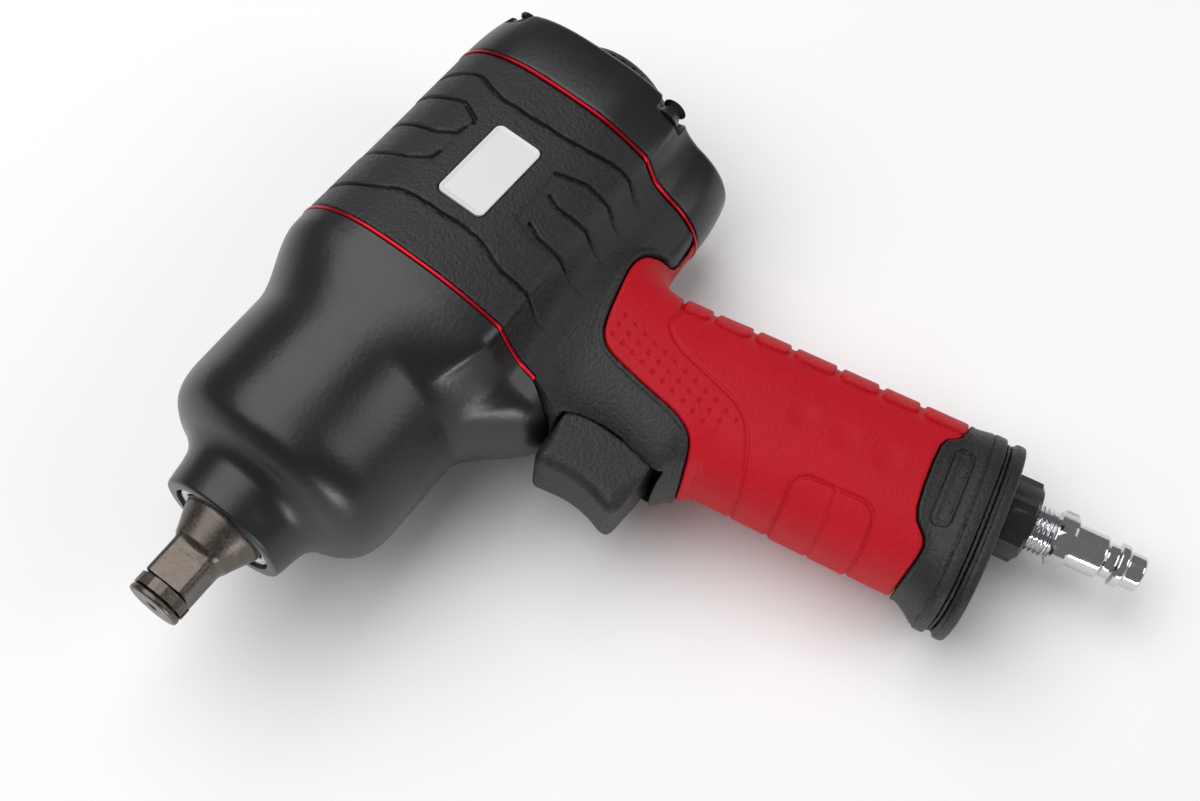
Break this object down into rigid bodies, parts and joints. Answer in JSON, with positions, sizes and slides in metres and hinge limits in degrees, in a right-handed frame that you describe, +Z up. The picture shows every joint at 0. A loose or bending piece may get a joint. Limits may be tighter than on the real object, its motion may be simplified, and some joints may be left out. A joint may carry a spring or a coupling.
{
  "type": "impact wrench",
  "caption": "Pneumatic pistol-grip impact wrench with a square drive, twin-hammer mechanism, vane motor, sliding trigger, power dial and quick-connect air plug, laid on its side.",
  "frame": {"origin": "middle of the bounding box at the surface that the tool lies on", "axes": "+Z up, out of the tool's left side; the square drive points along -X and the handle and air plug towards -Y, with the tool lying on its right side"},
  "size_m": [0.2016, 0.2368, 0.0756],
  "materials": {
    "black_paint": "satin black coat on cast aluminium",
    "black_moulding": "fine grained black glass-filled plastic",
    "black_rubber": "smooth black rubber",
    "red_rubber": "soft red over-moulded rubber with a fine grain",
    "red_anodised": "satin red anodised",
    "dark_steel": "phosphated steel, brown-grey",
    "black_steel": "black oxide steel",
    "bright_steel": "ground steel",
    "chrome": "bright chrome plate",
    "bronze": "sintered bronze and brass",
    "phenolic": "cloth-reinforced phenolic sheet",
    "badge_white": "satin white plate",
    "grey_felt": "grey felt"
  },
  "bodies": {
    "root": {"air_plug": "chrome", "anvil_bush": "bright_steel", "badge_plate": "badge_white", "base_gasket": "black_rubber", "case_screw_1": "dark_steel", "case_screw_2": "dark_steel", "case_screw_3": "dark_steel", "case_screw_4": "dark_steel", "exhaust_deflector": "black_moulding", "front_bearing_outer_race": "bright_steel", "front_end_plate": "bright_steel", "front_seal": "red_anodised", "hammer_case": "black_paint", "handle_base": "black_moulding", "inlet_bushing": "black_steel", "inlet_strainer": "bronze", "motor_housing": "black_moulding", "motor_liner": "bright_steel", "rear_bearing_outer_race": "bright_steel", "rear_cap": "black_paint", "rear_end_plate": "bright_steel", "rear_seal": "red_anodised", "rubber_grip": "red_rubber", "silencer_pad": "grey_felt", "stem_bush": "bronze", "throttle_spring": "bright_steel", "valve_seat": "bronze"},
    "anvil": {"anvil": "dark_steel", "socket_ring": "dark_steel", "socket_ring_cord": "black_rubber"},
    "rotor": {"rotor": "bright_steel", "vane_1": "phenolic", "vane_2": "phenolic", "vane_3": "phenolic", "vane_4": "phenolic", "vane_5": "phenolic", "vane_6": "phenolic", "front_bearing_inner_race": "bright_steel", "rear_bearing_inner_race": "bright_steel", "hammer_cage": "dark_steel", "hammer_pin_1": "bright_steel", "hammer_pin_2": "bright_steel"},
    "hammer_front": {"hammer_front": "dark_steel"},
    "hammer_rear": {"hammer_rear": "dark_steel"},
    "dial": {"dial": "black_moulding", "dial_spool": "bright_steel", "dial_seal": "black_rubber", "dial_screw": "bright_steel"},
    "trigger": {"trigger": "black_moulding", "trigger_stem": "bright_steel", "valve_poppet": "bright_steel"}
  },
  "joints": [
    {"name": "anvil_spin", "type": "hinge", "parent": "root", "child": "anvil", "pos_m": [-0.10039, 0.07878, 0.04457], "axis": [-0.9979, 0, 0.0641], "continuous": true},
    {"name": "rotor_spin", "type": "hinge", "parent": "root", "child": "rotor", "pos_m": [-0.04052, 0.07878, 0.04073], "axis": [-0.9979, 0, 0.0641], "continuous": true},
    {"name": "hammer_front_rock", "type": "hinge", "parent": "rotor", "child": "hammer_front", "pos_m": [-0.05006, 0.10248, 0.04351], "axis": [-0.9979, 0, 0.0641], "range_deg": [-2, 2]},
    {"name": "hammer_rear_rock", "type": "hinge", "parent": "rotor", "child": "hammer_rear", "pos_m": [-0.05033, 0.05508, 0.03919], "axis": [-0.9979, 0, 0.0641], "range_deg": [-2, 2]},
    {"name": "trigger_pull", "type": "slide", "parent": "root", "child": "trigger", "axis": [0.9979, 0, -0.0641], "range_m": [0, 0.0045], "stiffness_N_per_m": 1500, "springref_m": -0.003, "deforming": ["throttle_spring"]},
    {"name": "dial_turn", "type": "hinge", "parent": "root", "child": "dial", "pos_m": [0.08922, 0.07878, 0.0324], "axis": [0.9979, 0, -0.0641], "range_deg": [-45, 45]}
  ]
}
